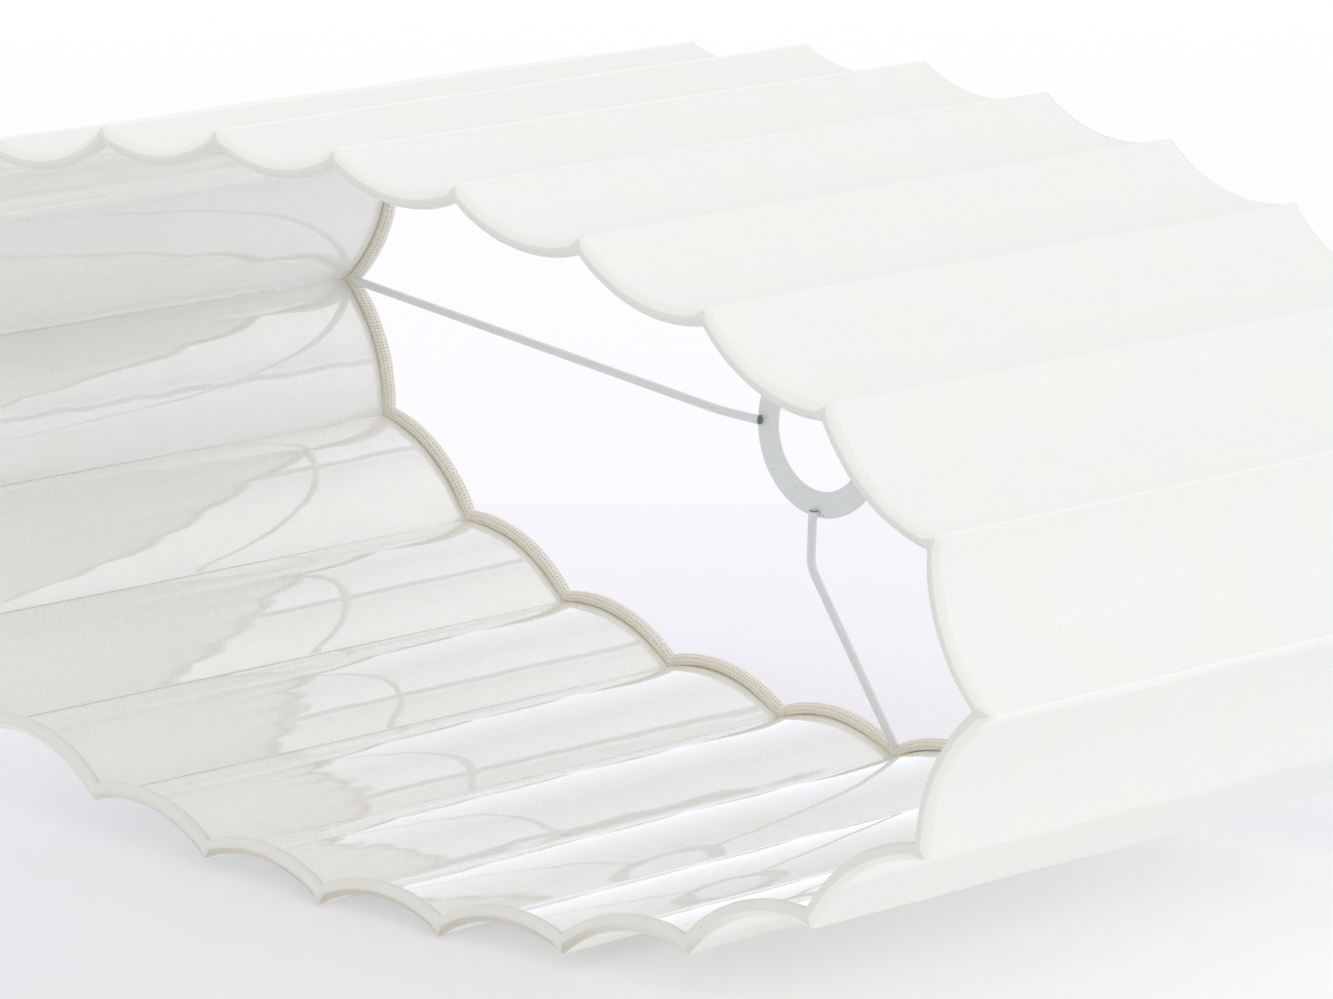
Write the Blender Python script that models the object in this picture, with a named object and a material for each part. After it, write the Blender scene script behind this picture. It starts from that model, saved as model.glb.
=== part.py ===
"""Oval lampshade with scalloped (inward curved) flutes, lying on its long side.

World axes: +X along the oval's long axis, +Y along the shade's own axis towards the end that
carries the fitter, +Z up. The shade rests on two neighbouring ridges, so its oval is rocked a
little about Y. The resting surface is z = 0 and the origin is under the middle of the shade.
All driving sizes are in millimetres and are turned into metres when a mesh is made.
"""
import math

import bmesh
import bpy
from mathutils import Vector

# ---- driving dimensions, mm -------------------------------------------------------------
LONG = 600.0          # ridge to ridge along the oval's long axis
SHORT = 257.0         # ridge to ridge along its short axis
HEIGHT = 284.0        # rim to rim along the shade's axis
FLUTES = 24           # one ridge lies at each of the four ends of the oval's axes
FLUTE_DEPTH = 7.5     # middle of a flute below the line between its two ridges
SEGMENTS = 5          # facets along one flute

LINEN = 0.6           # outer cover
GAP = 0.3             # between pieces that touch
FILM = 0.5            # clear lining
FILM_BREAK = 0.4      # from a ridge to the edge of the lining on each side of it
COVER_EDGE = 2.5      # from the rim plane to the cover's edge
FILM_EDGE = 1.5       # from the rim plane to the lining's edge

WIRE = 3.2            # ring wire and arm wire diameter
TAPE = 0.6            # binding cloth
TAPE_TURNS = (-90, -45, 0, 45, 90, 124)     # degrees round the wire, to the cloth's free edge
RIM_ROUND_OUT = ((0.0, 1.3), (0.45, 0.5))   # depth and distance behind the rim plane where
RIM_ROUND_IN = ((0.6, 1.5), (0.95, 0.85))   # the cloth's two faces round the rim's corner
WIRE_IN = LINEN + GAP + FILM + GAP + WIRE / 2   # wire centre below the cover's face
WIRE_DOWN = TAPE + GAP + WIRE / 2               # wire centre behind the rim plane

WASHER_OUT = 30.5     # radii of the fitter washer
WASHER_IN = 21.0
WASHER_THICK = 1.5
RECESS = 48.0         # washer's middle plane behind the fitter end's rim plane
ARM_TIP = 27.5        # radius at which an arm ends on the washer
ARM_BEND = 48.0       # radius at which an arm bends towards the rim
BEND_EASE = 3.0       # from the bend's corner to where it starts and ends
ARM_BELOW_RING = 0.6  # an arm's end lies this far behind the ring wire
ARM_SIDES = 12
WASHER_SIDES = 48

COLOURS = {
    "linen": (0.86, 0.86, 0.81, 0.85),
    "film": (0.88, 0.89, 0.87, 0.18),
    "tape": (0.74, 0.70, 0.58, 0.85),
    "paint": (0.70, 0.75, 0.76, 0.45),
    "steel": (0.50, 0.50, 0.50, 0.40),
}

# ---- the scalloped outline --------------------------------------------------------------


def ridge_points():
    """Ridge tips at equal distances round the oval, from the +X end towards +Z."""
    steps = 7200
    a, b = LONG / 2, SHORT / 2
    ring = [(a * math.cos(2 * math.pi * k / steps), b * math.sin(2 * math.pi * k / steps))
            for k in range(steps + 1)]
    run = [0.0]
    for k in range(steps):
        run.append(run[-1] + math.dist(ring[k], ring[k + 1]))
    tips, k = [], 0
    for i in range(FLUTES):
        want = run[-1] * i / FLUTES
        while run[k + 1] < want:
            k += 1
        t = (want - run[k]) / (run[k + 1] - run[k])
        tips.append(Vector((ring[k][0] + t * (ring[k + 1][0] - ring[k][0]),
                            ring[k][1] + t * (ring[k + 1][1] - ring[k][1]))))
    return tips


TIPS = ridge_points()


def flute_circle(j):
    """Centre (outside the shade) and radius of the arc between ridges j and j + 1."""
    p, q = TIPS[j], TIPS[(j + 1) % FLUTES]
    mid, chord = (p + q) / 2, q - p
    radius = (chord.length ** 2 / 4 + FLUTE_DEPTH ** 2) / (2 * FLUTE_DEPTH)
    out = Vector((chord.y, -chord.x)).normalized()
    if out.dot(mid) < 0:
        out = -out
    return mid + out * (radius - FLUTE_DEPTH), radius


CIRCLES = [flute_circle(j) for j in range(FLUTES)]


def ridge_inward(i):
    """Unit direction from ridge i towards the inside, halving its angle."""
    (c1, r1), (c2, r2) = CIRCLES[i - 1], CIRCLES[i]
    return -((c1 - TIPS[i]) / r1 + (c2 - TIPS[i]) / r2).normalized()


INWARD = [ridge_inward(i) for i in range(FLUTES)]


def ridge_at(i, depth):
    """Point of ridge i on the outline moved inwards by depth."""
    tip, way = TIPS[i], INWARD[i]
    reach = 0.0
    for centre, radius in (CIRCLES[i - 1], CIRCLES[i]):
        off = tip - centre
        half = off.dot(way)
        reach += -half + math.sqrt(half * half - off.length_squared + (radius + depth) ** 2)
    return tip + way * (reach / 2)


def flute_points(j, depth, trim=0.0):
    """Points of flute j from ridge j to ridge j + 1, moved inwards by depth."""
    centre, radius = CIRCLES[j]
    radius += depth
    ends = [ridge_at(j, depth) - centre, ridge_at((j + 1) % FLUTES, depth) - centre]
    first = math.atan2(ends[0].y, ends[0].x)
    turn = math.atan2(ends[1].y, ends[1].x) - first
    turn = (turn + math.pi) % (2 * math.pi) - math.pi
    cut = math.copysign(trim / radius, turn)
    first, turn = first + cut, turn - 2 * cut
    return [centre + radius * Vector((math.cos(first + turn * s / SEGMENTS),
                                      math.sin(first + turn * s / SEGMENTS)))
            for s in range(SEGMENTS + 1)]


def outline(depth):
    """The whole closed outline moved inwards by depth."""
    points = []
    for j in range(FLUTES):
        points += flute_points(j, depth)[:-1]
    return points


# ---- the resting pose -------------------------------------------------------------------
LOW = 3 * FLUTES // 4                      # the ridge at the oval's lower end
STEP = TIPS[LOW + 1] - TIPS[LOW]           # to its neighbour on the +X side
ROCK = math.atan2(STEP.y, STEP.x)


def rocked(x, z):
    c, s = math.cos(ROCK), math.sin(ROCK)
    return x * c + z * s, -x * s + z * c


AXIS_UP = -rocked(TIPS[LOW].x, TIPS[LOW].y)[1]   # height of the shade's axis, mm


def world(x, y, z):
    """Shade coordinates in mm to world coordinates in metres."""
    x, z = rocked(x, z)
    return Vector((x / 1000, y / 1000, (z + AXIS_UP) / 1000))


# ---- mesh helpers -----------------------------------------------------------------------


def clear_scene():
    for ob in list(bpy.data.objects):
        bpy.data.objects.remove(ob, do_unlink=True)


def material(name, kind):
    r, g, b, rough = COLOURS[kind]
    mat = bpy.data.materials.new(name)
    mat.use_nodes = True
    node = mat.node_tree.nodes["Principled BSDF"]
    node.inputs["Base Color"].default_value = (r, g, b, 1.0)
    node.inputs["Roughness"].default_value = rough
    return mat


def make(name, kind, verts, faces):
    mesh = bpy.data.meshes.new(name)
    bm = bmesh.new()
    points = [bm.verts.new(world(*v)) for v in verts]
    for face in faces:
        bm.faces.new([points[k] for k in face])
    bmesh.ops.recalc_face_normals(bm, faces=bm.faces)
    bm.to_mesh(mesh)
    bm.free()
    mesh.materials.append(material(name, kind))
    ob = bpy.data.objects.new(name, mesh)
    bpy.context.scene.collection.objects.link(ob)
    return ob


def skin(rows, row_closed=True, stack_closed=True):
    """Faces over rows of equal length. Rows follow the section, each row follows the path."""
    count, wide = len(rows), len(rows[0])
    verts = [v for row in rows for v in row]
    faces = []
    for r in range(count if stack_closed else count - 1):
        below, above = r * wide, ((r + 1) % count) * wide
        for k in range(wide if row_closed else wide - 1):
            n = (k + 1) % wide
            faces.append((below + k, below + n, above + n, above + k))
    return verts, faces


def ring_solid(name, kind, section, place):
    """Sweep a closed section of (depth, down) pairs round the scalloped outline."""
    rows = [[(p.x, place(down), p.y) for p in outline(depth)] for depth, down in section]
    return make(name, kind, *skin(rows))


def fitter_end(down):
    return HEIGHT / 2 - down


def open_end(down):
    return -HEIGHT / 2 + down


# ---- the pieces -------------------------------------------------------------------------


def linen_cover():
    low, high = open_end(COVER_EDGE), fitter_end(COVER_EDGE)
    section = [(0.0, low), (0.0, high), (LINEN, high), (LINEN, low)]
    return ring_solid("linen_cover", "linen", section, lambda y: y)


def liner_panel(j):
    low, high = open_end(FILM_EDGE), fitter_end(FILM_EDGE)
    out, inner = LINEN + GAP, LINEN + GAP + FILM
    rows = []
    for depth, y in ((out, low), (out, high), (inner, high), (inner, low)):
        rows.append([(p.x, y, p.y) for p in flute_points(j, depth, FILM_BREAK)])
    verts, faces = skin(rows, row_closed=False)
    wide = SEGMENTS + 1
    faces.append(tuple(r * wide for r in range(4)))
    faces.append(tuple(r * wide + wide - 1 for r in range(4)))
    return make(f"liner_panel_{j + 1:02d}", "film", verts, faces)


def circle_section(radius, sides):
    return [(WIRE_IN + radius * math.cos(2 * math.pi * k / sides),
             WIRE_DOWN + radius * math.sin(2 * math.pi * k / sides)) for k in range(sides)]


def binding_section():
    """Cloth that starts at the cover's edge, rounds the rim and rolls round the ring wire."""
    roll_in = WIRE / 2 + GAP
    roll_out = roll_in + TAPE
    outer = [(0.0, COVER_EDGE - GAP), *RIM_ROUND_OUT]
    inner = [(TAPE, COVER_EDGE - GAP), *RIM_ROUND_IN]
    for degrees in TAPE_TURNS:
        c, s = math.cos(math.radians(degrees)), math.sin(math.radians(degrees))
        outer.append((WIRE_IN + roll_out * c, WIRE_DOWN + roll_out * s))
        inner.append((WIRE_IN + roll_in * c, WIRE_DOWN + roll_in * s))
    return outer + inner[::-1]


def washer():
    middle = fitter_end(RECESS)
    rows = []
    for radius, side in ((WASHER_IN, -1), (WASHER_OUT, -1), (WASHER_OUT, 1), (WASHER_IN, 1)):
        y = middle + side * WASHER_THICK / 2
        rows.append([(radius * math.cos(2 * math.pi * k / WASHER_SIDES), y,
                      radius * math.sin(2 * math.pi * k / WASHER_SIDES))
                     for k in range(WASHER_SIDES)])
    return make("fitter_washer", "paint", *skin(rows))


def arm_line(stop):
    """Points (reach, y) along an arm: flat on the washer, a round bend, then straight out."""
    flat = fitter_end(RECESS) - WASHER_THICK / 2 - GAP - WIRE / 2
    rim = fitter_end(WIRE_DOWN + ARM_BELOW_RING)
    corner = Vector((ARM_BEND, flat))
    end = Vector((stop, rim))
    before = corner - Vector((BEND_EASE, 0.0))
    after = corner + (end - corner).normalized() * BEND_EASE
    points = [Vector((ARM_TIP, flat))]
    for t in (0.0, 1 / 3, 2 / 3, 1.0):
        points.append(before * (1 - t) ** 2 + corner * 2 * t * (1 - t) + after * t ** 2)
    return points + [end]


def arm(name, ridge):
    """Wire from the washer's inner face to the inside corner of the binding at a ridge."""
    out = TIPS[ridge].normalized()
    side = Vector((-out.y, out.x))
    corner = ridge_at(ridge, WIRE_IN + WIRE / 2 + GAP + TAPE)
    spoke = (corner - CIRCLES[ridge][0]).normalized()
    half = math.acos(abs(spoke.y * out.x - spoke.x * out.y))   # from the arm to either wall
    stop = corner.length - GAP / math.sin(half)
    line = arm_line(stop)
    rows = []
    for n, point in enumerate(line):
        way = (line[min(n + 1, len(line) - 1)] - line[max(n - 1, 0)]).normalized()
        across = Vector((-way.y, way.x))
        row = []
        for k in range(ARM_SIDES):
            angle = 2 * math.pi * k / ARM_SIDES
            wide, tall = WIRE / 2 * math.sin(angle), WIRE / 2 * math.cos(angle)
            spot = point + across * tall
            if n == len(line) - 1:        # the end is cut to the corner it butts into
                spot += way * ((stop - abs(wide) / math.tan(half) - spot.x) / way.x)
            row.append((out.x * spot.x + side.x * wide, spot.y,
                        out.y * spot.x + side.y * wide))
        rows.append(row)
    verts, faces = skin(rows, stack_closed=False)
    faces.append(tuple(range(ARM_SIDES)))
    last = (len(rows) - 1) * ARM_SIDES
    middle = ARM_SIDES // 2
    faces.append(tuple(last + k for k in range(middle + 1)))
    faces.append(tuple(last + k % ARM_SIDES for k in range(middle, ARM_SIDES + 1)))
    return make(name, "paint", verts, faces)


clear_scene()
linen_cover()
for flute in range(FLUTES):
    liner_panel(flute)
ring_solid("ring_wire_open_end", "steel", circle_section(WIRE / 2, 8), open_end)
ring_solid("ring_wire_fitter_end", "steel", circle_section(WIRE / 2, 8), fitter_end)
ring_solid("rim_binding_open_end", "tape", binding_section(), open_end)
ring_solid("rim_binding_fitter_end", "tape", binding_section(), fitter_end)
washer()
arm("fitter_arm_right", 0)
arm("fitter_arm_top", FLUTES // 4)
arm("fitter_arm_left", FLUTES // 2)
arm("fitter_arm_bottom", 3 * FLUTES // 4)
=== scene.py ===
import math

import bmesh
import bpy
import numpy as np
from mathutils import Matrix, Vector

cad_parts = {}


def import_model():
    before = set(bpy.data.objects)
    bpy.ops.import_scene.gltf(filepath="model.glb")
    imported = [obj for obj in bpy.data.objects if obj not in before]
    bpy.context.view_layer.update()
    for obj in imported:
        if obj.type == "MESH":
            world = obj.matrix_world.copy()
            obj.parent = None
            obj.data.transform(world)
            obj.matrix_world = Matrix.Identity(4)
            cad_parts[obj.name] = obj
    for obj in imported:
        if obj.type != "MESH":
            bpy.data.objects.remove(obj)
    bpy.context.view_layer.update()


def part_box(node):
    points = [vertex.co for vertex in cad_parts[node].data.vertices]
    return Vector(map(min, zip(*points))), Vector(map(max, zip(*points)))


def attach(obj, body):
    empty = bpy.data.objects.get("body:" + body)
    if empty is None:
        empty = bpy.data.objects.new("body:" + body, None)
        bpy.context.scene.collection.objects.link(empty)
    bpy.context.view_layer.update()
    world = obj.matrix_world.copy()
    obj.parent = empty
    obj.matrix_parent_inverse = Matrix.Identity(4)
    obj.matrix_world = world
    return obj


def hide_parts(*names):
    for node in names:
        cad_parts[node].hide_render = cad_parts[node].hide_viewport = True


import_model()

# ---- the shade's driving dimensions in millimetres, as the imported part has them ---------
LONG = 600.0          # ridge to ridge along the oval's long axis
SHORT = 257.0         # ridge to ridge along its short axis
FLUTES = 24
FLUTE_DEPTH = 7.5     # middle of a flute under the line between its two ridges
LINEN = 0.6
LINING_OUT = 0.9      # depth of the lining's outer face under the cover's face
LINING_IN = 1.4
WIRE = 3.2
WIRE_IN = 3.3         # wire centre under the cover's face
WIRE_DOWN = 2.5       # wire centre behind the rim plane
ROLL = 2.5            # radius of the cloth rolled round the ring wire
CLOTH = 0.6           # the rolled cloth
COVER_EDGE = 2.5      # the linen stops this far from the rim plane
LINING_EDGE = 1.5     # the lining stops this far from it

# ---- the finer shapes of its cloth and film, in millimetres -----------------------------
THREAD = 0.82         # thread spacing of the linen
SOFT_RIDGE = 0.7      # length either side of a ridge over which the linen rounds it
BINDING_SOFT = 0.5    # the same for the bindings
CORNER_STEPS = 4      # faces across a rounded ridge
COVER_SHARES = np.linspace(0, 1, 30)     # places across a flute where the linen has points
GATHERED = 9.0        # the binding's faces are short over this length either side of a ridge
PALE_WRAP = 3.4       # length of the binding that shows outside the rim, in the cover's colour
TUCK_FROM = 7.5       # the binding turns brown from here to TUCK_TO, along its roll
TUCK_TO = 13.0
FOLD_MIDDLE = 0.7     # how far from a ridge the lining leaves the linen, halfway along
FOLD_TAPER = 0.2      # how much further at the open end, and less at the fitter end
LIFT_MOST = 0.68      # how far the roll at the fitter end lifts the lining off the linen
LIFT_FROM = 60.0      # the lift starts this far to the open end's side of the middle
LIFT_FADES = 8.0      # length from the ridge over which the lift fades
CORNER_LIFT = 1.13    # the lift right in a corner, as a multiple of what lift() gives
LIP_GAP = 0.10        # share of a corner's bend that each panel leaves before its middle
BACK_TRIM = 0.4       # length left off each side of the lining's outer face
WAVE_DIES = 6.0       # the lining's waves die out over this length at its sides
PANEL_MAP_STEP = 70.0        # start of each lining panel on the map, so their weave differs
SHADE_BROWN_BELOW = 0.008   # in metres over the table: the binding is painted brown up to here, a painted contact shadow
SHADE_GONE_ABOVE = 0.035    # and the painted shadow has faded out from here up

MM = 0.001
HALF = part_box("rim_binding_fitter_end")[1].y / MM      # rim plane to the shade's middle
WASHER_LOW, WASHER_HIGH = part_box("fitter_washer")


def middle(node):
    low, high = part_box(node)
    return (low + high) / 2


# ---- the scalloped outline --------------------------------------------------------------
def ridge_tips():
    """Ridge tips at equal distances round the oval, from the +X end towards +Z."""
    turn = np.linspace(0, 2 * np.pi, 7201)
    ring = np.stack([LONG / 2 * np.cos(turn), SHORT / 2 * np.sin(turn)], 1)
    run = np.concatenate([[0], np.cumsum(np.linalg.norm(np.diff(ring, axis=0), axis=1))])
    want = run[-1] * np.arange(FLUTES) / FLUTES
    return np.stack([np.interp(want, run, ring[:, k]) for k in (0, 1)], 1)


TIPS = ridge_tips()


def unit(v):
    return v / np.linalg.norm(v, axis=-1, keepdims=True)


def flute_circle(j):
    """Centre (outside the shade) and radius of the arc between ridges j and j + 1."""
    p, q = TIPS[j], TIPS[(j + 1) % FLUTES]
    chord = q - p
    radius = (chord @ chord / 4 + FLUTE_DEPTH ** 2) / (2 * FLUTE_DEPTH)
    out = unit(np.array([chord[1], -chord[0]]))
    return (p + q) / 2 + out * (radius - FLUTE_DEPTH), radius


CIRCLES = [flute_circle(j) for j in range(FLUTES)]


def ridge_at(i, depth):
    """Ridge i on the outline moved inwards by depth, and the way inwards there."""
    i %= FLUTES
    tip = TIPS[i]
    pair = (CIRCLES[i - 1], CIRCLES[i])
    way = -unit(sum((centre - tip) / radius for centre, radius in pair))
    reach = 0.0
    for centre, radius in pair:
        off = tip - centre
        half = off @ way
        reach += math.sqrt(half * half - off @ off + (radius + depth) ** 2) - half
    return tip + way * reach / 2, way


def flute_angles(j, depth):
    """First angle and turn of flute j's arc at that depth."""
    centre, _ = CIRCLES[j % FLUTES]
    a, b = ridge_at(j, depth)[0] - centre, ridge_at(j + 1, depth)[0] - centre
    first = math.atan2(a[1], a[0])
    turn = (math.atan2(b[1], b[0]) - first + math.pi) % (2 * math.pi) - math.pi
    return first, turn


def on_arc(j, depth, share, trim_first=0.0, trim_last=0.0):
    """Points and inward ways on flute j. The trims are lengths left off at its two ends."""
    centre, radius = CIRCLES[j % FLUTES]
    first, turn = flute_angles(j, depth)
    sign = math.copysign(1.0, turn)
    first = first + sign * trim_first / (radius + depth)
    turn = turn - sign * (trim_first + trim_last) / (radius + depth)
    angle = first + turn * share
    way = np.stack([np.cos(angle), np.sin(angle)], -1)
    return centre + way * (radius + depth), way


def bend(a, corner, b, t):
    """Point on the parabola from a to b that a corner pulls."""
    t = np.asarray(t)[..., None]
    return a * (1 - t) ** 2 + corner * 2 * t * (1 - t) + b * t ** 2


def outline(depth, shares, soft, corner_steps):
    """The closed outline at a depth: points and inward ways. Each ridge is rounded over soft."""
    points, ways = [], []
    ts = np.arange(1, corner_steps) / corner_steps
    for j in range(FLUTES):
        p, w = on_arc(j, depth, shares, soft, soft)
        q, v = on_arc(j + 1, depth, shares[:1], soft, soft)
        corner, _ = ridge_at(j + 1, depth)
        points += [p, bend(p[-1], corner, q[0], ts)]
        ways += [w, unit(w[-1] * (1 - ts[:, None]) + v[0] * ts[:, None])]
    return np.concatenate(points), np.concatenate(ways)


def run_length(points):
    """Distance round the closed outline to each point, and the whole length."""
    step = np.linalg.norm(np.roll(points, -1, 0) - points, axis=1)
    return np.concatenate([[0], np.cumsum(step)[:-1]]), step.sum()


# ---- the resting pose -------------------------------------------------------------------
LOW = 3 * FLUTES // 4
STEP = TIPS[LOW + 1] - TIPS[LOW]
ROCK = math.atan2(STEP[1], STEP[0])
AXIS_UP = TIPS[LOW] @ np.array([math.sin(ROCK), -math.cos(ROCK)])


def world(xz, y):
    """Outline points (..., 2) and distances along the shade in mm to world points in metres."""
    c, s = math.cos(ROCK), math.sin(ROCK)
    x, z = xz[..., 0], xz[..., 1]
    x, z = x * c + z * s, -x * s + z * c + AXIS_UP
    return np.stack([x, np.broadcast_to(y, x.shape), z], -1) * MM


def field(u, v, seed, shortest, longest, count=7):
    """A smooth uneven height of about unit size, from waves of mixed length and heading."""
    rng = np.random.default_rng(seed)
    total = 0.0
    for _ in range(count):
        length = rng.uniform(shortest, longest)
        heading = rng.uniform(0, math.pi)
        phase = rng.uniform(0, 2 * math.pi)
        across = u * math.cos(heading) + v * math.sin(heading)
        total = total + np.sin(across * 2 * math.pi / length + phase)
    return total / math.sqrt(count / 2)


# ---- meshes -----------------------------------------------------------------------------
def build(name, points, faces, uvs, material, sharp=40):
    """A smooth shaded mesh with its own map, in metres along and across the threads."""
    mesh = bpy.data.meshes.new(name)
    mesh.from_pydata(points.tolist(), [], faces)
    layer = mesh.uv_layers.new(name="weave")
    layer.data.foreach_set("uv", uvs.astype(np.float32).ravel())
    bm = bmesh.new()
    bm.from_mesh(mesh)
    bmesh.ops.recalc_face_normals(bm, faces=bm.faces)
    bm.to_mesh(mesh)
    bm.free()
    mesh.shade_smooth()
    mesh.set_sharp_from_angle(angle=math.radians(sharp))
    mesh.materials.append(material)
    ob = bpy.data.objects.new(name, mesh)
    bpy.context.scene.collection.objects.link(ob)
    return ob


def quads(count_a, count_b, wrap_a, wrap_b):
    """Corner indices (a, b) of the quads of a grid, before any wrapping round."""
    a = np.arange(count_a if wrap_a else count_a - 1)
    b = np.arange(count_b if wrap_b else count_b - 1)
    a, b = (g.ravel() for g in np.meshgrid(a, b, indexing="ij"))
    return np.stack([a, a, a + 1, a + 1], 1), np.stack([b, b + 1, b + 1, b], 1)


def slab(name, face, back, uv, material, ring=None, sharp=40):
    """A closed thin sheet between two grids of points. ring is its map's length round, if any."""
    rows, cols = face.shape[:2]
    a, b = quads(rows, cols, False, ring is not None)
    wrapped = b == cols
    index = a * cols + b % cols
    uvs = uv[a, b % cols]
    if ring is not None:
        uvs = uvs + wrapped[..., None] * np.array([ring, 0.0])
    shift = rows * cols
    faces, maps = [index, index + shift], [uvs, uvs]
    b_edge = np.arange(cols if ring is not None else cols - 1)
    for row in (0, rows - 1):
        k, n = row * cols + b_edge, row * cols + (b_edge + 1) % cols
        faces.append(np.stack([k, n, n + shift, k + shift], 1))
        over = ((b_edge + 1) >= cols)[:, None] * np.array([ring or 0.0, 0.0])
        first, last = uv[row, b_edge], uv[row, (b_edge + 1) % cols] + over
        maps.append(np.stack([first, last, last, first], 1))
    if ring is None:
        a_edge = np.arange(rows - 1)
        for col in (0, cols - 1):
            k, n = a_edge * cols + col, (a_edge + 1) * cols + col
            faces.append(np.stack([k, n, n + shift, k + shift], 1))
            maps.append(np.stack([uv[a_edge, col], uv[a_edge + 1, col]] * 2, 1)[:, [0, 1, 3, 2]])
    points = np.concatenate([face.reshape(-1, 3), back.reshape(-1, 3)])
    faces = np.concatenate(faces).tolist()
    return build(name, points, faces, np.concatenate(maps), material, sharp)


def tube(name, grid, uv, around, material, closed=False, sharp=40):
    """Rows of points round a path. An open tube has its two ends closed by fans."""
    rows, cols = grid.shape[:2]
    a, b = quads(rows, cols, closed, True)
    index = (a % rows) * cols + b % cols
    uvs = uv[a % rows, b % cols]
    uvs = uvs + (b == cols)[..., None] * np.array([0.0, around])
    if closed:
        span = uv[-1, 0, 0] + (uv[-1, 0, 0] - uv[-2, 0, 0])
        uvs = uvs + (a == rows)[..., None] * np.array([span, 0.0])
        return build(name, grid.reshape(-1, 3), index.tolist(), uvs, material, sharp)
    points = np.concatenate([grid.reshape(-1, 3), grid[0].mean(0)[None], grid[-1].mean(0)[None]])
    k = np.arange(cols)
    n = (k + 1) % cols
    tri_faces, tri_maps = [], []
    for row, hub in ((0, rows * cols), (rows - 1, rows * cols + 1)):
        tri_faces.append(np.stack([row * cols + k, row * cols + n, np.full(cols, hub)], 1))
        tri_maps.append(np.stack([uv[row, k], uv[row, n], uv[row, k]], 1))
    faces = index.tolist() + np.concatenate(tri_faces).tolist()
    maps = np.concatenate([uvs.reshape(-1, 2), np.concatenate(tri_maps).reshape(-1, 2)])
    return build(name, points, faces, maps, material, sharp)


# ---- materials --------------------------------------------------------------------------
COLOUR_MIX_SOCKETS = (0, 6, 7)        # share and the two colours, among a mix node's inputs
COLOUR_MIX_RESULT = 2


class Graph:
    """Short ways to add nodes to a material and join them."""

    def __init__(self, name):
        self.material = bpy.data.materials.new(name)
        self.material.use_nodes = True
        self.tree = self.material.node_tree
        self.shader = self.tree.nodes["Principled BSDF"]

    def put(self, socket, value):
        if isinstance(value, bpy.types.NodeSocket):
            self.tree.links.new(value, socket)
        elif value is not None:
            socket.default_value = value

    def add(self, kind, *values, **settings):
        node = self.tree.nodes.new("ShaderNode" + kind)
        for key, value in settings.items():
            setattr(node, key, value)
        for socket, value in zip(node.inputs, values):
            self.put(socket, value)
        return node

    def math(self, operation, *values):
        return self.add("Math", *values, operation=operation).outputs[0]

    def mix(self, share, a, b):
        """Colour between a and b."""
        node = self.add("Mix", data_type="RGBA")
        for place, value in zip(COLOUR_MIX_SOCKETS, (share, a, b)):
            self.put(node.inputs[place], value)
        return node.outputs[COLOUR_MIX_RESULT]

    def spread(self, value, low, high, to_low=0.0, to_high=1.0):
        """value from low..high to to_low..to_high, cut off at both ends."""
        return self.add("MapRange", value, low, high, to_low, to_high).outputs[0]

    def vector(self, x, y, z=0.0):
        return self.add("CombineXYZ", x, y, z).outputs[0]

    def noise(self, vector, scale=1.0, detail=2.0, roughness=0.5):
        node = self.add("TexNoise")
        self.put(node.inputs["Vector"], vector)
        self.put(node.inputs["Scale"], scale)
        self.put(node.inputs["Detail"], detail)
        self.put(node.inputs["Roughness"], roughness)
        return node.outputs[0]

    def bump(self, height, distance, strength=1.0, normal=None):
        node = self.add("Bump")
        self.put(node.inputs["Height"], height)
        self.put(node.inputs["Distance"], distance)
        self.put(node.inputs["Strength"], strength)
        self.put(node.inputs["Normal"], normal)
        return node.outputs[0]

    def set(self, **values):
        for key, value in values.items():
            self.put(self.shader.inputs[key.replace("_", " ")], value)

    def map_uv(self):
        """The piece's own map, in thread spacings: u along it, v across it."""
        uv = self.add("UVMap", uv_map="weave").outputs[0]
        parts = self.add("SeparateXYZ", uv).outputs
        per = 1.0 / (THREAD * MM)
        return self.math("MULTIPLY", parts[0], per), self.math("MULTIPLY", parts[1], per)


def weave(g, u, v):
    """Plain weave with uneven threads: height 0..1 and the tone 0..1 of the thread on top."""
    sway_u = g.noise(g.vector(u, g.math("MULTIPLY", v, 0.15)), 0.35)
    sway_v = g.noise(g.vector(g.math("MULTIPLY", u, 0.15), v, 7.0), 0.35)
    wave_u = g.math("SINE", g.math("MULTIPLY", g.math("ADD", u, sway_u), math.pi))
    wave_v = g.math("SINE", g.math("MULTIPLY", g.math("ADD", v, sway_v), math.pi))
    over = g.math("MULTIPLY_ADD", g.math("MULTIPLY", wave_u, wave_v), 0.5, 0.5)
    along = g.math("ABSOLUTE", wave_u)
    across = g.math("ABSOLUTE", wave_v)
    height = g.math("ADD", g.math("MULTIPLY", along, over),
                    g.math("MULTIPLY", across, g.math("SUBTRACT", 1.0, over)))
    tone_u = g.noise(g.vector(u, g.math("MULTIPLY", v, 0.03)), 0.9, 1.0)
    tone_v = g.noise(g.vector(g.math("MULTIPLY", u, 0.03), v, 3.0), 0.9, 1.0)
    tone = g.math("ADD", g.math("MULTIPLY", tone_u, over),
                  g.math("MULTIPLY", tone_v, g.math("SUBTRACT", 1.0, over)))
    return height, tone


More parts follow.
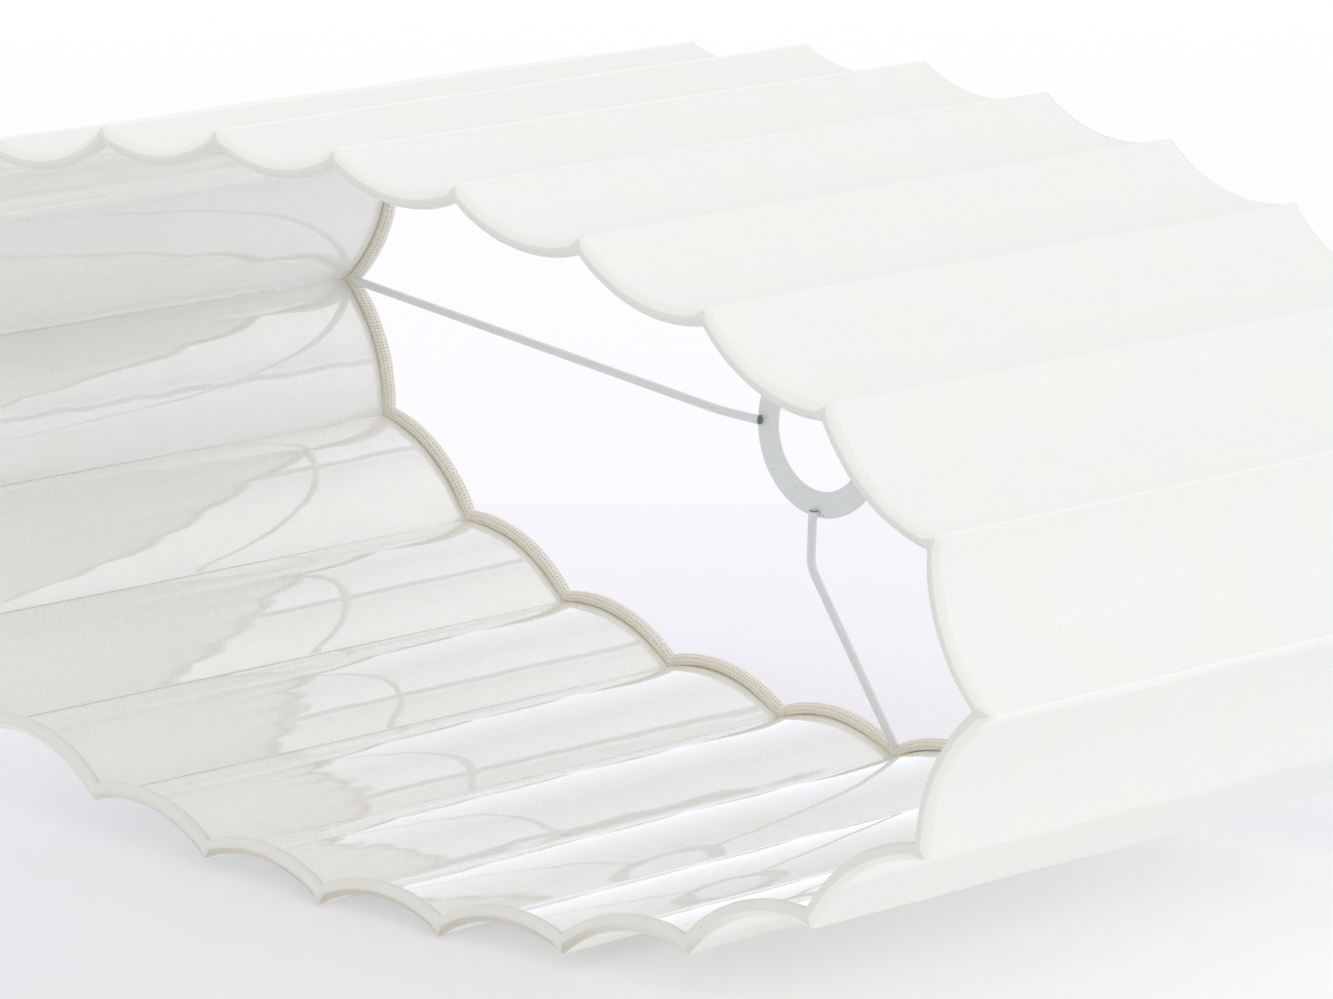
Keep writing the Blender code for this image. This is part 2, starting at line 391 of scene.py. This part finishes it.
def linen_colour(g, u, v, height, tone, light, dark, fleck, blotch):
    """Thread tones between dark and light, darker pores, soft blotches, few tiny flecks."""
    shade = g.spread(tone, 0.2, 0.8)
    colour = g.mix(shade, dark, light)
    pore = g.spread(height, 0.0, 0.5, 0.35, 0.0)
    colour = g.mix(pore, colour, dark)
    wide = g.noise(g.vector(u, v, 1.0), 0.02, 3.0)
    colour = g.mix(g.spread(wide, 0.5, 0.8, 0.0, 0.6), colour, blotch)
    grain = g.noise(g.vector(g.math("MULTIPLY", u, 0.6), v, 5.0), 1.3, 0.0)
    patch = g.noise(g.vector(u, v, 9.0), 0.05, 1.0)
    spot = g.math("MULTIPLY", g.spread(grain, 0.81, 0.87), g.spread(patch, 0.52, 0.64))
    return g.mix(g.math("MULTIPLY", spot, 0.8), colour, fleck)


def linen_material():
    """Linen outside: fine threads, and a paler line along each ridge, a painted highlight on its
    fold.
    """
    g = Graph("linen_weave")
    u, v = g.map_uv()
    height, tone = weave(g, u, v)
    colour = linen_colour(g, u, v, height, tone, (0.852, 0.880, 0.848, 1), (0.82, 0.846, 0.808, 1),
                          (0.74, 0.66, 0.44, 1), (0.86, 0.86, 0.80, 1))
    base, _ = outline(0.0, COVER_SHARES, SOFT_RIDGE, CORNER_STEPS)
    spacing = run_length(base)[1] / FLUTES / THREAD
    # Painted highlight: a paler line along each ridge of the cover.
    place = g.math("WRAP", g.math("ADD", u, SOFT_RIDGE / THREAD), spacing / 2, -spacing / 2)
    ridge_highlight = g.spread(g.math("ABSOLUTE", place), 0.5, 1.1, 0.8, 0.0)
    colour = g.mix(ridge_highlight, colour, (0.92, 0.93, 0.90, 1))
    g.set(Base_Color=colour, Roughness=g.spread(height, 0.0, 1.0, 0.95, 0.8),
          Normal=g.bump(g.math("ADD", height, g.math("MULTIPLY", tone, 0.5)), 0.00010, 0.4),
          Sheen_Weight=0.1, Sheen_Roughness=0.5, Specular_IOR_Level=0.3)
    return g.material


def lining_material():
    """Linen seen through a clear film: thread tones below, a mirror-like gloss on top that
    faintly streaks along the linen's bias."""
    g = Graph("clear_lining_over_linen")
    u, v = g.map_uv()
    height, tone = weave(g, u, v)
    colour = linen_colour(g, u, v, height, tone, (0.86, 0.864, 0.845, 1), (0.80, 0.803, 0.77, 1),
                          (0.66, 0.56, 0.34, 1), (0.82, 0.81, 0.75, 1))
    bias = g.math("MULTIPLY_ADD", u, 0.8, v)
    streak = g.noise(g.vector(g.math("MULTIPLY", u, 0.15), bias, 2.0), 0.8, 1.0)
    gloss = g.bump(streak, 0.0000010, 1.0)
    g.set(Base_Color=colour, Roughness=0.05, Specular_IOR_Level=0.8, Normal=gloss,
          Coat_Weight=g.spread(streak, 0.3, 0.7, 0.75, 1.0), Coat_Roughness=0.0, Coat_IOR=2.1,
          Coat_Normal=gloss)
    return g.material


def binding_material(name, light_thread, dark_thread, pores, relief, coarse):
    """Olive cloth whose threads are coarse times the linen's. Its first few millimetres, outside
    the rim, are as pale as the cover, with an olive tip at each ridge, and painted brown low down,
    a painted contact shadow where the rim rests on the table. It also turns brown towards its free
    edge."""
    g = Graph(name)
    u, v = g.map_uv()
    height, tone = weave(g, g.math("DIVIDE", u, coarse), g.math("DIVIDE", v, coarse))
    colour = linen_colour(g, u, v, height, tone, light_thread, dark_thread,
                          (0.50, 0.42, 0.25, 1), dark_thread)
    pore = g.spread(height, 0.15, 0.5, pores, 0.0)
    colour = g.mix(pore, colour, tuple(c * 0.45 for c in dark_thread[:3]) + (1,))
    base, _ = outline(0.0, near_ridge_shares(), BINDING_SOFT, CORNER_STEPS)
    spacing = run_length(base)[1] / FLUTES / THREAD
    from_ridge = g.math("ABSOLUTE", g.math("WRAP", u, spacing / 2, -spacing / 2))
    reach = g.spread(from_ridge, 0.6, 3.2, 0.45 * PALE_WRAP / THREAD, PALE_WRAP / THREAD)
    tucked = g.spread(v, TUCK_FROM / THREAD, TUCK_TO / THREAD, 0.0, 0.5)
    colour = g.mix(tucked, colour, (0.82, 0.735, 0.58, 1))
    inside = g.spread(g.math("SUBTRACT", v, reach), 0.0, 0.5)
    # Painted contact shadow: low over the table, the wrap outside the rim is painted brown.
    tall = g.add("SeparateXYZ", g.add("TexCoord").outputs["Object"]).outputs[2]
    high = g.spread(tall, SHADE_BROWN_BELOW, SHADE_GONE_ABOVE)
    pale = g.mix(high, (0.615, 0.58, 0.495, 1), (0.82, 0.84, 0.795, 1))
    colour = g.mix(inside, pale, colour)
    g.set(Base_Color=colour, Roughness=g.spread(height, 0.0, 1.0, 0.95, 0.8),
          Normal=g.bump(g.math("ADD", height, g.math("MULTIPLY", tone, 0.6)), relief, 0.8),
          Sheen_Weight=0.1, Sheen_Roughness=0.5, Specular_IOR_Level=0.3)
    return g.material


def paint_material(name, shaded_end):
    """Pale grey sprayed paint with a fine orange peel and a few nicks down to dark steel.
    An arm's squeezed end is painted dark over its first shaded_end millimetres, a painted shadow
    of the gap where it meets the washer."""
    g = Graph(name)
    u, v = g.map_uv()
    peel = g.noise(g.vector(u, v), 1.2, 3.0)
    wide = g.noise(g.vector(u, v, 4.0), 0.12, 2.0)
    nick = g.noise(g.vector(u, v, 8.0), 0.9, 1.0, 0.6)
    chip = g.spread(nick, 0.76, 0.775)
    colour = g.mix(g.spread(wide, 0.3, 0.7), (0.735, 0.76, 0.765, 1), (0.74, 0.775, 0.78, 1))
    colour = g.mix(chip, colour, (0.10, 0.11, 0.11, 1))
    if shaded_end:
        # Painted shadow at the arm's end, where it meets the washer.
        from_end = g.math("MODULO", u, ARM_MAP_STEP / THREAD)
        end_shade = g.spread(from_end, 0.4 * shaded_end / THREAD, shaded_end / THREAD, 0.9, 0.0)
        colour = g.mix(end_shade, colour, (0.06, 0.08, 0.09, 1))
    g.set(Base_Color=colour, Roughness=g.spread(peel, 0.3, 0.7, 0.38, 0.52),
          Normal=g.bump(g.math("SUBTRACT", peel, chip), 0.00004, 0.5), Specular_IOR_Level=0.5)
    return g.material


def wire_material():
    """Drawn steel wire with a thin grey paint."""
    g = Graph("ring_wire_paint")
    u, v = g.map_uv()
    drawn = g.noise(g.vector(g.math("MULTIPLY", u, 0.05), v), 2.0, 2.0)
    colour = g.mix(g.spread(drawn, 0.3, 0.7), (0.50, 0.52, 0.52, 1), (0.62, 0.64, 0.63, 1))
    g.set(Base_Color=colour, Roughness=g.spread(drawn, 0.3, 0.7, 0.35, 0.55),
          Normal=g.bump(drawn, 0.00003, 0.5))
    return g.material


def floor_material():
    """Pale matt table whose tint changes slowly from side to side and from front to back: painted
    shade darkens it towards the front, and painted light brightens and warms it towards the right,
    where the shade's shadow falls. Past its edge it turns white."""
    g = Graph("pale_table")
    place = g.add("TexCoord").outputs["Object"]
    grain = g.noise(place, 900.0, 2.0)
    parts = g.add("SeparateXYZ", place).outputs
    beyond = g.spread(parts[1], TABLE_EDGE, TABLE_EDGE + TABLE_EDGE_WIDE)
    # Painted shade towards the front and painted light towards the right, where the shade's shadow
    # falls.
    lit_towards_back = g.spread(parts[1], -0.45, 0.15)
    lit_towards_right = g.spread(parts[0], -0.20, 0.22)
    front = g.mix(lit_towards_right, (0.772, 0.778, 0.795, 1), (0.985, 0.962, 0.955, 1))
    colour = g.mix(lit_towards_back, front, (0.935, 0.925, 0.975, 1))
    away = g.spread(parts[1], TABLE_EDGE, TABLE_EDGE + WHITE_PAST)
    further = g.mix(away, (0.965, 0.955, 0.995, 1), (1.0, 1.0, 1.0, 1))
    colour = g.mix(beyond, colour, further)
    g.set(Base_Color=colour, Roughness=0.85, Specular_IOR_Level=0.2,
          Normal=g.bump(grain, 0.00002, 0.3))
    return g.material


# ---- the cover, lining, bindings and wires ----------------------------------------------
def cover():
    """The linen skin with small waves in it, and its length round the outline."""
    base, _ = outline(0.0, COVER_SHARES, SOFT_RIDGE, CORNER_STEPS)
    u, length = run_length(base)
    ys = np.linspace(-HALF + COVER_EDGE, HALF - COVER_EDGE, 60)
    uu, yy = np.meshgrid(u, ys)
    sag = 0.10 * field(uu, yy, 11, 35, 120) + 0.03 * field(uu, yy, 12, 8, 25)
    grids = []
    for depth in (0.0, LINEN):
        p, way = outline(depth, COVER_SHARES, SOFT_RIDGE, CORNER_STEPS)
        grids.append(world(p[None] + way[None] * sag[..., None], yy))
    uv = np.stack([uu, yy], -1) * MM
    ob = slab("linen_skin", grids[0], grids[1], uv, MATERIAL["linen"], ring=length * MM)
    return ob, length


def fold_width(i, ys):
    """How far from ridge i the lining leaves the linen to span the corner."""
    uneven = field(np.zeros_like(ys), ys, 200 + i % FLUTES, 60, 200, 4).clip(-1.6, 1.6)
    return FOLD_MIDDLE - FOLD_TAPER * ys / HALF + 0.06 * uneven


def lift(ys):
    """How far the roll at the fitter end holds the lining off the linen in each corner."""
    return LIFT_MOST * np.clip((ys + LIFT_FROM) / (HALF + LIFT_FROM), 0, 1) ** 1.6


def lifted_arc(j, depth, ys, share, trim_first, trim_last):
    """on_arc, with the lining's lift near both corners added."""
    p, way = on_arc(j, depth, share, trim_first, trim_last)
    _, radius = CIRCLES[j % FLUTES]
    length = abs(flute_angles(j, depth)[1]) * (radius + depth)
    run = trim_first + share * (length - trim_first - trim_last)
    near = np.exp(-run / LIFT_FADES) + np.exp(-(length - run) / LIFT_FADES)
    return p + way * (near * lift(ys)[:, None])[..., None], way


def lining_face(j, depth, ys, shares):
    """Grid of the lining's inner face on flute j, with its two lips that span the corners."""
    wide_a, wide_b = fold_width(j, ys)[:, None], fold_width(j + 1, ys)[:, None]
    p, way = lifted_arc(j, depth, ys, shares[None], wide_a, wide_b)
    none = np.zeros_like(wide_a)
    lips = []
    ts = np.linspace(0.5 - LIP_GAP, 0.0, 5)[:-1]
    for i, wide, mine in ((j, wide_a, p[:, :1]), (j + 1, wide_b, p[:, -1:])):
        corner, inwards = ridge_at(i, depth)
        corner = corner + inwards * CORNER_LIFT * lift(ys)[:, None, None]
        if i == j:
            other, _ = lifted_arc(j - 1, depth, ys, np.ones((1, 1)), none, wide)
        else:
            other, _ = lifted_arc(j + 1, depth, ys, np.zeros((1, 1)), wide, none)
        lips.append(bend(mine, corner, other, ts[None] if i == j else ts[None, ::-1]))
    points = np.concatenate([lips[0], p, lips[1]], 1)
    steps = len(ts)
    ways = np.concatenate([np.repeat(way[:, :1], steps, 1), way,
                           np.repeat(way[:, -1:], steps, 1)], 1)
    return points, ways


def lining(j):
    """Lining panel of flute j, with long shallow waves that die out at its two corners."""
    ys = np.linspace(-HALF + LINING_EDGE, HALF - LINING_EDGE, 100)
    p, way = lining_face(j, LINING_IN, ys, np.linspace(0, 1, 32))
    step = np.linalg.norm(np.diff(p, axis=1), axis=2)
    run = np.concatenate([np.zeros((len(ys), 1)), np.cumsum(step, 1)], 1)
    uu = run + j * PANEL_MAP_STEP
    yy = np.repeat(ys[:, None], p.shape[1], 1)
    wave = 0.045 * field(uu, yy, 300 + j, 30, 110) + 0.008 * field(uu, yy, 400 + j, 9, 25)
    wave *= np.clip(np.minimum(run, run[:, -1:] - run) / WAVE_DIES, 0, 1)
    face = world(p + way * wave[..., None], yy)
    flat = np.linspace(0, 1, p.shape[1])
    q, _ = on_arc(j, LINING_OUT, flat[None], BACK_TRIM, BACK_TRIM)
    back = world(np.repeat(q, len(ys), 0), yy)
    uv = np.stack([uu, yy], -1) * MM
    return slab(f"lining_{j + 1:02d}", face, back, uv, MATERIAL["lining"])


def section():
    """Outer and inner points (depth, down) of the binding, a cloth's thickness apart."""
    out, inner = [], []
    for degrees in np.linspace(180, 262, 8):
        c, s = math.cos(math.radians(degrees)), math.sin(math.radians(degrees))
        out.append((WIRE_IN * (1 + c), WIRE_DOWN * (1 + s)))
        inner.append((CLOTH + (WIRE_IN - CLOTH) * (1 + c), CLOTH + (WIRE_DOWN - CLOTH) * (1 + s)))
    for degrees in np.linspace(-90, 128, 20):
        c, s = math.cos(math.radians(degrees)), math.sin(math.radians(degrees))
        out.append((WIRE_IN + ROLL * c, WIRE_DOWN + ROLL * s))
        inner.append((WIRE_IN + (ROLL - CLOTH) * c, WIRE_DOWN + (ROLL - CLOTH) * s))
    return np.array(out), np.array(inner)


def near_ridge_shares():
    """Shares along a flute with short steps near its two ridges."""
    near, count = GATHERED / np.linalg.norm(STEP), 16
    return np.concatenate([np.linspace(0, near, count)[:-1], np.linspace(near, 1 - near, 22),
                           np.linspace(1 - near, 1, count)[1:]])


def binding(name, node, end):
    """Cloth over the rim's edge and rolled round the ring wire. It gathers at each ridge."""
    shares = near_ridge_shares()
    base, _ = outline(0.0, shares, BINDING_SOFT, CORNER_STEPS)
    u, length = run_length(base)
    cols = len(u)
    per = cols // FLUTES
    ridge_u = u[(np.arange(1, FLUTES + 1) * per - CORNER_STEPS // 2) % cols]
    gap = np.abs((u[:, None] - ridge_u[None] + length / 2) % length - length / 2)
    near = gap.min(1)
    which = gap.argmin(1)
    out, inner = section()
    steps = np.linalg.norm(np.diff(out, axis=0), axis=1)
    v = np.concatenate([[0], np.cumsum(steps)])
    normal = np.gradient(out, axis=0)
    normal = unit(np.stack([normal[:, 1], -normal[:, 0]], 1))
    turned = np.clip((v - 5.0) / 5.0, 0, 1)        # 0 outside the rim, 1 inside it
    pleat = np.exp(-(near / 4.5) ** 2)[None]
    tucks = np.cos(2 * math.pi * near / 1.9 + which * 1.7)[None]
    uneven = field(u[None] * np.ones_like(v)[:, None], v[:, None] * 3, 21 + end, 6, 40)
    push = pleat * (0.16 * tucks - 0.28) * turned[:, None] + 0.05 * uneven
    push *= np.clip(v / 2.0, 0.2, 1)[:, None]
    grids = []
    for line in (out, inner):
        rows = []
        for k, (depth, down) in enumerate(line):
            p, way = outline(depth, shares, BINDING_SOFT, CORNER_STEPS)
            p = p + way * normal[k, 0] * push[k][:, None]
            y = end * (HALF - down) - end * normal[k, 1] * push[k]
            rows.append(world(p, y))
        grids.append(np.array(rows))
    uv = np.stack(np.meshgrid(u, v), -1) * MM
    ob = slab(name, grids[0], grids[1], uv, MATERIAL[name], ring=length * MM, sharp=60)
    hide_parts(node)
    return ob, length, v[-1]


def ring_wire(name, node, end):
    """The scalloped wire that one rim's cloth is rolled round."""
    shares, soft, corner_steps = np.linspace(0, 1, 16), 1.0, 3
    base, _ = outline(WIRE_IN, shares, soft, corner_steps)
    u, length = run_length(base)
    turns = np.linspace(0, 2 * math.pi, 17)[:-1]
    rows = []
    for angle in turns:
        p, _ = outline(WIRE_IN + WIRE / 2 * math.cos(angle), shares, soft, corner_steps)
        rows.append(world(p, end * (HALF - WIRE_DOWN - WIRE / 2 * math.sin(angle))))
    grid = np.array(rows).transpose(1, 0, 2)
    uv = np.stack(np.meshgrid(u, turns * WIRE / 2, indexing="ij"), -1) * MM
    ob = tube(name, grid, uv, math.pi * WIRE * MM, MATERIAL["wire"], closed=True)
    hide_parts(node)
    return ob


# ---- the fitter -------------------------------------------------------------------------
WASHER_OUT = (WASHER_HIGH.x - WASHER_LOW.x) / 2 / MM
WASHER_IN = 21.0
WASHER_EASE = 0.35    # radius of its four edges
WASHER_THICK = (WASHER_HIGH.y - WASHER_LOW.y) / MM
WASHER_Y = middle("fitter_washer").y / MM
ARMS = {"right": 0, "top": FLUTES // 4, "left": FLUTES // 2, "bottom": 3 * FLUTES // 4}
ARM_TIP = 27.5        # an arm's end on the washer, from the washer's axis
ARM_BEND = 48.0       # its kink, from the same axis
ARM_EASE = 4.0        # length of wire either side of the kink that bends
ARM_SQUEEZED = 3.5    # length of wire that is squeezed flat at its end
ARM_MAP_STEP = 400.0  # start of each ridge's arm on the map, so their paint differs
ARM_FLAT = WASHER_Y - WASHER_THICK / 2 - 0.3 - WIRE / 2


def washer():
    """Punched ring with rolled over outer edges and a slight dish under each arm's end."""
    ease, half = WASHER_EASE, WASHER_THICK / 2
    profile = []
    for radius, side, turn in ((WASHER_IN, -1, 180), (WASHER_OUT, -1, 270),
                               (WASHER_OUT, 1, 0), (WASHER_IN, 1, 90)):
        sign = 1 if radius == WASHER_IN else -1
        for degrees in (0, 30, 60, 90):
            c, s = (f(math.radians(turn + degrees)) for f in (math.cos, math.sin))
            profile.append((radius + sign * ease + ease * c, side * (half - ease) + ease * s))
        if side == -1 and radius == WASHER_IN:
            profile += [(r, -half) for r in np.linspace(WASHER_IN + 1, WASHER_OUT - 1, 10)]
    profile = np.array(profile)
    angles = np.linspace(0, 2 * math.pi, 193)[:-1]
    rr, aa = np.meshgrid(profile[:, 0], angles)
    yy = np.repeat(profile[None, :, 1], len(angles), 0)
    xz = np.stack([rr * np.cos(aa), rr * np.sin(aa)], -1)
    for ridge in ARMS.values():
        out = unit(TIPS[ridge])
        along = xz @ out - ARM_TIP - 1.0
        across = xz @ np.array([-out[1], out[0]])
        seat = np.exp(-(along / 3.2) ** 4 - (across / 2.0) ** 4)
        yy = yy + 0.25 * seat * (yy < 0)
    v = np.concatenate([[0], np.cumsum(np.linalg.norm(np.diff(profile, axis=0), axis=1))])
    uv = np.stack([aa * WASHER_OUT, np.repeat(v[None], len(angles), 0)], -1) * MM
    ob = tube("fitter_ring", world(xz, WASHER_Y + yy), uv, 0.0, MATERIAL["washer"], closed=True)
    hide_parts("fitter_washer")
    return ob


def arm_path(stop):
    """Points (reach, y) along an arm's middle line, from its end on the washer to the rim."""
    corner = np.array([ARM_BEND, ARM_FLAT])
    end = np.array([stop, HALF - WIRE_DOWN - 0.6])
    before = corner - np.array([ARM_EASE, 0.0])
    after = corner + unit(end - corner) * ARM_EASE
    flat = np.linspace(ARM_TIP, before[0], 16)[:-1]
    points = [np.stack([flat, np.full_like(flat, ARM_FLAT)], 1)]
    points.append(bend(before, corner, after, np.linspace(0, 1, 9)))
    points.append(after + (end - after) * np.linspace(0, 1, 24)[1:, None])
    return np.concatenate(points)


def arm(side):
    """Painted wire, its end squeezed flat onto the washer."""
    ridge = ARMS[side]
    out = unit(TIPS[ridge])
    across = np.array([-out[1], out[0]])
    corner, _ = ridge_at(ridge, WIRE_IN + ROLL)
    line = arm_path(np.linalg.norm(corner) + 1.2)
    way = unit(np.gradient(line, axis=0))
    turns = np.linspace(0, 2 * math.pi, 21)[:-1]
    run = np.concatenate([[0], np.cumsum(np.linalg.norm(np.diff(line, axis=0), axis=1))])
    squeeze = np.clip(1 - run / ARM_SQUEEZED, 0, 1)
    rows = []
    for k, (reach, y) in enumerate(line):
        wide = WIRE / 2 * (1 + 0.22 * squeeze[k]) * np.sin(turns)
        tall = WIRE / 2 * (1 - 0.18 * squeeze[k]) * np.cos(turns)
        if k == 0:
            wide, tall = wide * 0.86, tall * 0.86
        radial = reach - way[k, 1] * tall
        along = y + way[k, 0] * tall + 0.45 * squeeze[k]
        xz = radial[:, None] * out + wide[:, None] * across
        rows.append(world(xz, along))
    grid = np.array(rows)
    along_map = run + ARM_MAP_STEP * ridge
    uv = np.stack(np.meshgrid(along_map, turns * WIRE / 2, indexing="ij"), -1) * MM
    ob = tube("arm_" + side, grid, uv, math.pi * WIRE * MM, MATERIAL["arm"], sharp=50)
    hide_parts("fitter_arm_" + side)
    return ob


# ---- floor, light and camera ------------------------------------------------------------
VIEW_AZIMUTH = math.radians(45.19)
VIEW_ELEVATION = math.radians(11.78)
VIEW_DISTANCE = 2.540
AIM = Vector((0.0, 0.0079, AXIS_UP * MM))
AIM_RIGHT, AIM_UP = 0.00675, -0.01104
LENS = 199.3
TABLE_EDGE = 0.56        # metres behind the shade's middle
TABLE_EDGE_WIDE = 0.004
WHITE_PAST = 2.0         # metres past the edge where the floor has turned white
SKY_SEEN = 1.16          # strength of the surroundings to the camera
SKY_LIGHT = 0.755        # the same as light on cloth, paint and table
SKY_MIRRORED = 1.45      # the same as seen in a gloss
COOL = (0.978, 0.995, 1.032, 1)          # colour of the light from the surroundings
ROOM_SIDE = (0.32, 0.77, 0.555)          # direction of the room past the backdrop
# How far a direction leans towards the room (1 is straight at it), and the tone there
BACKDROP_TONES = ((0.0, 1.0), (0.72, 0.94), (0.862, 0.84), (0.867, 0.42), (0.885, 0.42),
                  (0.888, 0.86), (0.90, 0.66), (1.0, 0.66))


def way_to(a, e):
    """Direction with azimuth a from -Y towards +X, and elevation e."""
    return Vector((math.sin(a) * math.cos(e), -math.cos(a) * math.cos(e), math.sin(e)))


def camera():
    back = way_to(VIEW_AZIMUTH, VIEW_ELEVATION)
    right = Vector((math.cos(VIEW_AZIMUTH), math.sin(VIEW_AZIMUTH), 0.0))
    up = back.cross(right)
    data = bpy.data.cameras.new("camera")
    data.sensor_width, data.lens = 36.0, LENS
    data.clip_start, data.clip_end = 0.1, 100.0
    ob = bpy.data.objects.new("camera", data)
    bpy.context.scene.collection.objects.link(ob)
    ob.location = AIM + right * AIM_RIGHT + up * AIM_UP + back * VIEW_DISTANCE
    ob.rotation_mode = "QUATERNION"
    ob.rotation_quaternion = (-back).to_track_quat("-Z", "Y")
    bpy.context.scene.camera = ob


def floor():
    mesh = bpy.data.meshes.new("floor")
    size, steps = 60.0, 8
    bm = bmesh.new()
    bmesh.ops.create_grid(bm, x_segments=steps, y_segments=steps, size=size)
    bm.to_mesh(mesh)
    bm.free()
    mesh.materials.append(floor_material())
    ob = bpy.data.objects.new("floor", mesh)
    ob.rotation_euler.z = VIEW_AZIMUTH
    ob.location.z = -0.0003
    bpy.context.scene.collection.objects.link(ob)


def sky():
    """White surroundings. Lit cloth sees them dimmer, because the soft fills add to them, and
    the glossy film sees a white backdrop that ends at a dark edge, with a dimmer room past it."""
    scene = bpy.context.scene
    scene.view_settings.view_transform = "Standard"
    scene.cycles.diffuse_bounces = 12
    scene.cycles.max_bounces = 16
    studio = bpy.data.worlds.new("studio")
    studio.use_nodes = True
    scene.world = studio
    tree = studio.node_tree
    link = tree.links.new

    def background(strength, colour=(1.0, 1.0, 1.0, 1)):
        node = tree.nodes.new("ShaderNodeBackground")
        node.inputs["Color"].default_value = colour
        node.inputs["Strength"].default_value = strength
        return node

    def choose(factor, first, second):
        node = tree.nodes.new("ShaderNodeMixShader")
        link(factor, node.inputs[0])
        link(first, node.inputs[1])
        link(second, node.inputs[2])
        return node.outputs[0]

    mirrored = background(1.0)
    heading = tree.nodes.new("ShaderNodeTexCoord").outputs["Generated"]
    height = tree.nodes.new("ShaderNodeVectorMath")
    height.operation = "DOT_PRODUCT"
    link(heading, height.inputs[0])
    height.inputs[1].default_value = ROOM_SIDE
    ramp = tree.nodes.new("ShaderNodeValToRGB")
    stops = ramp.color_ramp.elements
    for place, tone in BACKDROP_TONES:
        stop = stops.new(place) if place not in (0.0, 1.0) else stops[int(place)]
        stop.color = (tone * 0.955, tone * 0.968, tone * (0.85 + 0.255 * tone), 1)
    link(height.outputs["Value"], ramp.inputs[0])
    link(ramp.outputs[0], mirrored.inputs["Color"])
    mirrored.inputs["Strength"].default_value = SKY_MIRRORED
    path = tree.nodes.new("ShaderNodeLightPath").outputs
    plain = choose(path["Is Camera Ray"], background(SKY_LIGHT, COOL).outputs[0],
                   background(SKY_SEEN).outputs[0])
    both = choose(path["Is Glossy Ray"], plain, mirrored.outputs[0])
    link(both, tree.nodes["World Output"].inputs["Surface"])
    studio.cycles.sampling_method = "NONE"


def light(name, azimuth, elevation, share, colour=(1, 1, 1), shadow=False):
    """A very wide soft light, its azimuth from the camera's. Without shadow it stands for what
    cloth and film let through."""
    data = bpy.data.lights.new(name, "SUN")
    data.energy = math.pi * share
    data.angle = math.radians(120)
    data.color = colour
    data.use_shadow = shadow
    ob = bpy.data.objects.new(name, data)
    way = way_to(VIEW_AZIMUTH + math.radians(azimuth), math.radians(elevation))
    ob.rotation_mode = "QUATERNION"
    ob.rotation_quaternion = (-way).to_track_quat("-Z", "Y")
    ob.visible_glossy = False
    bpy.context.scene.collection.objects.link(ob)


# ---- put it together --------------------------------------------------------------------
camera()
sky()
light("fill_over", 0, 75, 0.11, (1.18, 1.0, 0.78))
light("key_right", 100, 35, 0.10, (0.96, 0.99, 1.06), shadow=True)
light("fill_right", 45, 3, 0.13)
light("fill_left", -60, 15, 0.12, (1.06, 1.0, 0.92))
light("fill_under", 0, -75, 0.27, (1.0, 1.0, 1.06))
floor()
MATERIAL = {"linen": linen_material(), "lining": lining_material(),
            # The open end's olive threads are partly the cloth's own tone and partly painted shade
            # of the roll's inner face.
            "binding_open_end": binding_material(
                "binding_open_end_weave", (0.75, 0.757, 0.715, 1), (0.715, 0.718, 0.67, 1),
                pores=0.15, relief=0.00005, coarse=1.0),
            "binding_fitter_end": binding_material(
                "binding_fitter_end_weave", (0.95, 0.945, 0.87, 1), (0.87, 0.86, 0.75, 1),
                pores=1.0, relief=0.00040, coarse=1.8),
            "washer": paint_material("grey_paint_washer", 0.0),
            "arm": paint_material("grey_paint_arm", 0.8), "wire": wire_material()}

skin, around = cover()
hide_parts("linen_cover")
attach(skin, "root")

for flute in range(FLUTES):
    panel = lining(flute)
    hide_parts(f"liner_panel_{flute + 1:02d}")
    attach(panel, "root")

for place, end in (("open_end", -1), ("fitter_end", 1)):
    wire = ring_wire("ring_" + place, "ring_wire_" + place, end)
    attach(wire, "root")
    roll, around, across = binding("binding_" + place, "rim_binding_" + place, end)
    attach(roll, "root")

plate = washer()
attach(plate, "root")
for side in ARMS:
    wire = arm(side)
    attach(wire, "root")
